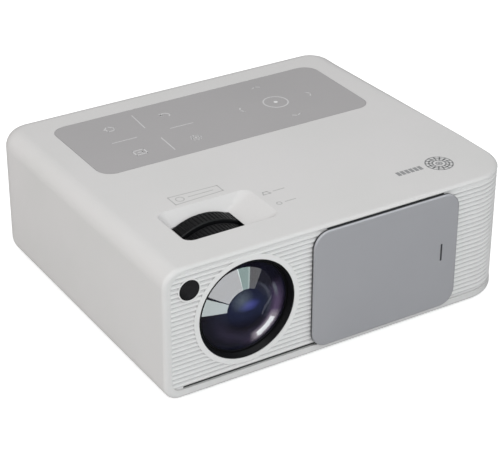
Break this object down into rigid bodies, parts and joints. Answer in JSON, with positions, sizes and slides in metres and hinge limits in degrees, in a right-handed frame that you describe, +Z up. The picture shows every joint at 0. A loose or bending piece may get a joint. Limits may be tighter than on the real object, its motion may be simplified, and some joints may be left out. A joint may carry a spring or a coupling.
{
  "type": "projector with disc player",
  "caption": "Compact lens projector in a wide white ribbed case with a sliding grey lens cover, focus and keystone wheels, touch panel and side disc tray.",
  "frame": {"origin": "middle of the whole object at the level of the table it stands on", "axes": "+Z up, +Y from the lens side to the back, +X to the right seen from the front"},
  "size_m": [0.27, 0.2426, 0.0955],
  "materials": {
    "white_shell": "fine matt texture",
    "rib_white": "satin",
    "grey_panel": "satin, printed symbols",
    "cover_grey": "satin",
    "black_plastic": "satin",
    "dark_window": "gloss, infrared-clear",
    "lens_glass": "coated, violet-blue reflections",
    "optic_glass": "clear",
    "screen_glass": "smoky liquid-crystal panel",
    "engine_black": "matt moulded",
    "aluminium": "extruded",
    "bright_metal": "bright reflector coating",
    "sheet_steel": "zinc-plated sheet",
    "screw_steel": "zinc-plated",
    "brass": "turned",
    "board_green": "solder-masked board",
    "board_parts": "moulded packages",
    "tray_black": "fine texture",
    "bezel_white": "fine matt texture",
    "feet_rubber": "soft, matt",
    "speaker_paper": "pressed cone",
    "led_copper": "plated star board"
  },
  "bodies": {
    "projector": {"housing": "white_shell", "front_panel": "rib_white", "rear_panel": "white_shell", "bottom_cover": "white_shell", "control_panel": "grey_panel", "touch_board": "board_green", "lens_trim": "black_plastic", "lens_collar": "engine_black", "engine_base": "engine_black", "engine_lid": "engine_black", "fresnel_lenses": "optic_glass", "condenser_frame": "engine_black", "condenser_lens": "optic_glass", "reflector": "bright_metal", "led_module": "led_copper", "heat_sink": "aluminium", "fan_frame": "black_plastic", "receiver_window": "dark_window", "receiver_board": "board_green", "drive_case": "sheet_steel", "drive_lid": "sheet_steel", "drive_rails": "sheet_steel", "drive_bracket": "sheet_steel", "main_board": "board_green", "main_board_parts": "board_parts", "data_sockets": "sheet_steel", "sound_jacks": "black_plastic", "mains_inlet": "black_plastic", "power_board": "board_green", "power_board_parts": "board_parts", "speaker_frame": "sheet_steel", "speaker_cone": "speaker_paper", "rubber_feet": "feet_rubber", "threaded_inserts": "brass", "bottom_screws": "screw_steel", "inside_screws": "screw_steel"},
    "cover": {"lens_cover": "cover_grey", "cover_clips": "sheet_steel"},
    "lens": {"lens_barrel": "black_plastic", "front_lens": "lens_glass", "inner_lenses": "lens_glass"},
    "focus_wheel": {"focus_wheel": "black_plastic"},
    "keystone_wheel": {"keystone_wheel": "black_plastic"},
    "push_rod": {"push_rod": "screw_steel"},
    "screen": {"lcd_cradle": "engine_black", "lcd_panel": "screen_glass"},
    "fan_rotor": {"fan_rotor": "black_plastic"},
    "tray": {"disc_tray": "tray_black", "tray_bezel": "bezel_white", "traverse_frame": "sheet_steel", "guide_rods": "screw_steel", "feed_motor": "sheet_steel", "spindle_motor": "sheet_steel"},
    "tray_rails": {"tray_rails": "sheet_steel"},
    "turntable": {"turntable": "black_plastic"},
    "pickup": {"pickup_sled": "aluminium"},
    "feed_screw": {"feed_screw": "screw_steel"},
    "eject_button": {"eject_button": "bezel_white"},
    "leveller_pad": {"leveller_pad": "feet_rubber"},
    "leveller_screw": {"leveller_screw": "screw_steel"}
  },
  "joints": [
    {"name": "cover_slide", "type": "slide", "parent": "projector", "child": "cover", "axis": [-1, 0, 0], "range_m": [0, 0.098]},
    {"name": "focus_turn", "type": "hinge", "parent": "projector", "child": "focus_wheel", "pos_m": [-0.0754, -0.0807, 0.052], "axis": [0, 1, 0], "range_deg": [-60, 60]},
    {"name": "lens_slide", "type": "slide", "parent": "projector", "child": "lens", "axis": [0, 1, 0], "range_m": [-0.0012, 0.0012]},
    {"name": "keystone_turn", "type": "hinge", "parent": "projector", "child": "keystone_wheel", "pos_m": [-0.0754, -0.0663, 0.052], "axis": [0, 1, 0], "range_deg": [0, 40]},
    {"name": "push_rod_slide", "type": "slide", "parent": "projector", "child": "push_rod", "axis": [0, 1, 0], "range_m": [0, 0.0029]},
    {"name": "screen_tilt", "type": "hinge", "parent": "projector", "child": "screen", "pos_m": [-0.0754, 0.0113, 0.0815], "axis": [1, 0, 0], "range_deg": [0, 2.88]},
    {"name": "fan_spin", "type": "hinge", "parent": "projector", "child": "fan_rotor", "pos_m": [-0.0754, 0.11035, 0.052], "axis": [0, 1, 0], "continuous": true},
    {"name": "tray_slide", "type": "slide", "parent": "projector", "child": "tray", "axis": [1, 0, 0], "range_m": [0, 0.12]},
    {"name": "rail_slide", "type": "slide", "parent": "projector", "child": "tray_rails", "axis": [1, 0, 0], "range_m": [0, 0.06]},
    {"name": "turntable_spin", "type": "hinge", "parent": "tray", "child": "turntable", "pos_m": [0.069, 0.0093, 0.054], "axis": [0, 0, 1], "continuous": true},
    {"name": "pickup_slide", "type": "slide", "parent": "tray", "child": "pickup", "axis": [-1, 0, 0], "range_m": [0, 0.031]},
    {"name": "feed_screw_turn", "type": "hinge", "parent": "tray", "child": "feed_screw", "pos_m": [0.0074, 0.0353, 0.0512], "axis": [1, 0, 0], "range_deg": [0, 3720]},
    {"name": "eject_press", "type": "slide", "parent": "tray", "child": "eject_button", "axis": [-1, 0, 0], "range_m": [0, 0.0008], "stiffness_N_per_m": 400, "springref_m": -0.0012},
    {"name": "leveller_slide", "type": "slide", "parent": "projector", "child": "leveller_pad", "axis": [0, 0, -1], "range_m": [0, 0.01]},
    {"name": "leveller_turn", "type": "hinge", "parent": "leveller_pad", "child": "leveller_screw", "pos_m": [0, -0.0967, 0.0025], "axis": [0, 0, 1], "range_deg": [-3600, 0]}
  ],
  "couplings": [
    {"joint": "lens_slide", "follows": "focus_turn", "m_per_rad": 0.0011459},
    {"joint": "push_rod_slide", "follows": "keystone_turn", "m_per_rad": 0.0041539},
    {"joint": "screen_tilt", "follows": "keystone_turn", "ratio": 0.072063},
    {"joint": "rail_slide", "follows": "tray_slide", "ratio": 0.5},
    {"joint": "feed_screw_turn", "follows": "pickup_slide", "rad_per_m": 2094.4},
    {"joint": "leveller_turn", "follows": "leveller_slide", "rad_per_m": -6283.2}
  ]
}
